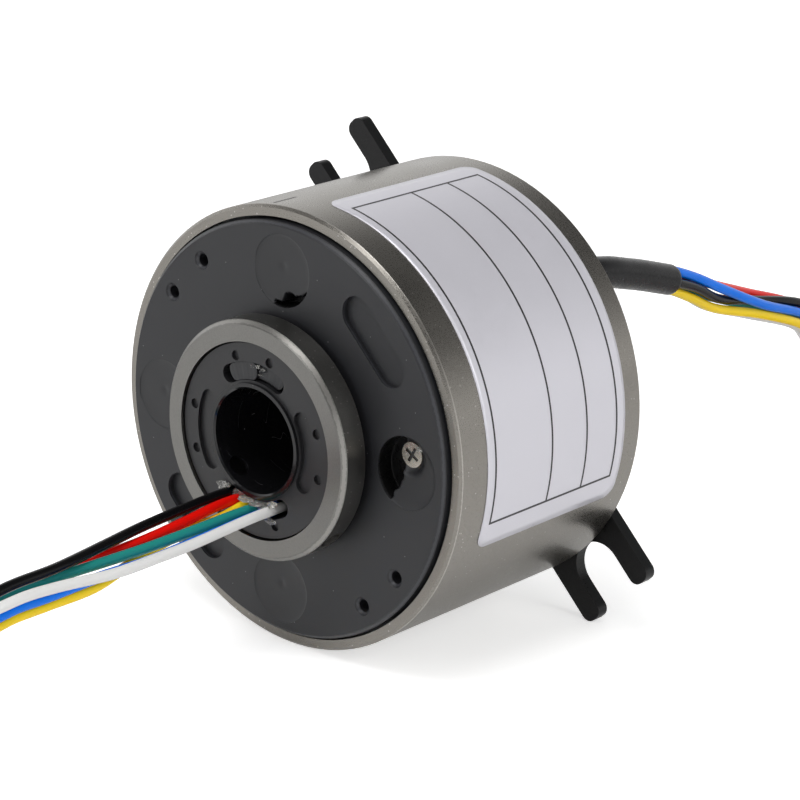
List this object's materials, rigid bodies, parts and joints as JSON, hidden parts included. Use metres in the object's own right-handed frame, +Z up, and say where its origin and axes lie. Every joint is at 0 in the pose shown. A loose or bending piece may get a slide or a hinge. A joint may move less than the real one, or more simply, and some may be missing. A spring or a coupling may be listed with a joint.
{
  "type": "through-bore slip ring",
  "caption": "Round slip ring for a shaft, with a clamping collar, leads on the rotor and the stator, and two forks that stop the body from turning.",
  "frame": {"origin": "On the axis of the shaft bore, in the plane of the housing's front rim.", "axes": "+X runs along the bore from the rotor's lead side to the fork side, +Z is up between the upper screw pocket and the axis, and +Y completes the right hand; the two forks point along +Y+Z and -Y-Z."},
  "size_m": [0.2195, 0.072, 0.0613],
  "materials": {
    "housing_metal": "satin grey, finely speckled",
    "cap_plastic": "moulded, slate black",
    "flange_plastic": "black",
    "screw_steel": "plain",
    "potting": "hardened resin",
    "block_plastic": "laminate",
    "brush_alloy": "spring wire",
    "bearing_steel": "ground",
    "cage_brass": "balls and cage",
    "sleeve_rubber": "shrunk sleeve",
    "lead_red": "lead insulation",
    "lead_black": "lead insulation",
    "lead_white": "lead insulation",
    "lead_blue": "lead insulation",
    "lead_yellow": "lead insulation",
    "lead_green": "lead insulation",
    "coil_grey": "outer shape of six wound leads",
    "tie_plastic": "strap",
    "bore_plastic": "black",
    "rotor_plastic": "black",
    "ring_gold": "gold plated",
    "insert_plastic": "moulded",
    "collar_metal": "turned, grey",
    "clear_glue": "clear glue"
  },
  "bodies": {
    "stator": {"housing": "housing_metal", "front_cap": "cap_plastic", "rear_cap": "flange_plastic", "cap_screw_1": "screw_steel", "cap_screw_2": "screw_steel", "cap_screw_3": "screw_steel", "cap_screw_4": "screw_steel", "pocket_potting_1": "potting", "pocket_potting_2": "potting", "pocket_potting_3": "potting", "pocket_potting_4": "potting", "brush_block_top": "block_plastic", "brush_block_bottom": "block_plastic", "brush_1": "brush_alloy", "brush_2": "brush_alloy", "brush_3": "brush_alloy", "brush_4": "brush_alloy", "brush_5": "brush_alloy", "brush_6": "brush_alloy", "front_bearing_outer": "bearing_steel", "rear_bearing_outer": "bearing_steel", "front_ball_cage": "cage_brass", "rear_ball_cage": "cage_brass", "lead_sleeve": "sleeve_rubber", "stator_lead_red": "lead_red", "stator_lead_black": "lead_black", "stator_lead_white": "lead_white", "stator_lead_blue": "lead_blue", "stator_lead_yellow": "lead_yellow", "stator_lead_green": "lead_green", "stator_coil": "coil_grey", "stator_coil_tie": "tie_plastic"},
    "rotor": {"rotor_sleeve": "bore_plastic", "rotor_head": "rotor_plastic", "rotor_core": "rotor_plastic", "ring_1": "ring_gold", "ring_2": "ring_gold", "ring_3": "ring_gold", "ring_4": "ring_gold", "ring_5": "ring_gold", "ring_6": "ring_gold", "front_bearing_inner": "bearing_steel", "rear_bearing_inner": "bearing_steel", "retaining_ring": "screw_steel", "insert": "insert_plastic", "collar": "collar_metal", "grub_screw_1": "screw_steel", "grub_screw_2": "screw_steel", "lead_potting": "clear_glue", "slot_potting": "potting", "rotor_lead_black": "lead_black", "rotor_lead_red": "lead_red", "rotor_lead_yellow": "lead_yellow", "rotor_lead_green": "lead_green", "rotor_lead_blue": "lead_blue", "rotor_lead_white": "lead_white", "rotor_coil": "coil_grey", "rotor_coil_tie": "tie_plastic"}
  },
  "joints": [
    {"name": "rotor_spin", "type": "hinge", "parent": "stator", "child": "rotor", "pos_m": [0, 0, 0], "axis": [1, 0, 0], "continuous": true}
  ]
}
